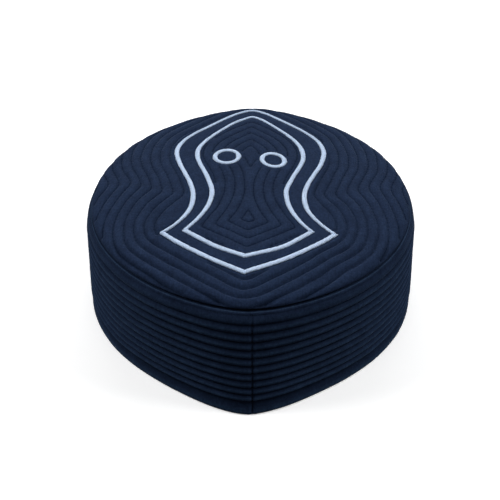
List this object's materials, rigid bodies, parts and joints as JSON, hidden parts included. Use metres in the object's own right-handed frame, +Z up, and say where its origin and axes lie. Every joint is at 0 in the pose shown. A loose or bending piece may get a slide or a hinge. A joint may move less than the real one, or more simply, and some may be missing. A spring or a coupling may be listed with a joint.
{
  "type": "kufi cap",
  "caption": "Round quilted cloth cap with a low domed crown, an upright ribbed band and a sandal outline in satin stitch on the crown.",
  "frame": {"origin": "middle of the cap's extent on the surface it rests on, in the plane of the rim", "axes": "+Z up from the rim to the crown, +Y from the band's seam end to the end that the sandal's toe points to, +X to the right"},
  "size_m": [0.186, 0.204, 0.0744],
  "materials": {
    "navy_cloth": "matt quilted cotton, plain weave",
    "light_blue_thread": "satin stitch, soft sheen"
  },
  "bodies": {
    "root": {"crown_panel": "navy_cloth", "side_band": "navy_cloth", "outer_outline": "light_blue_thread", "inner_outline": "light_blue_thread", "left_ring": "light_blue_thread", "right_ring": "light_blue_thread"}
  },
  "joints": []
}
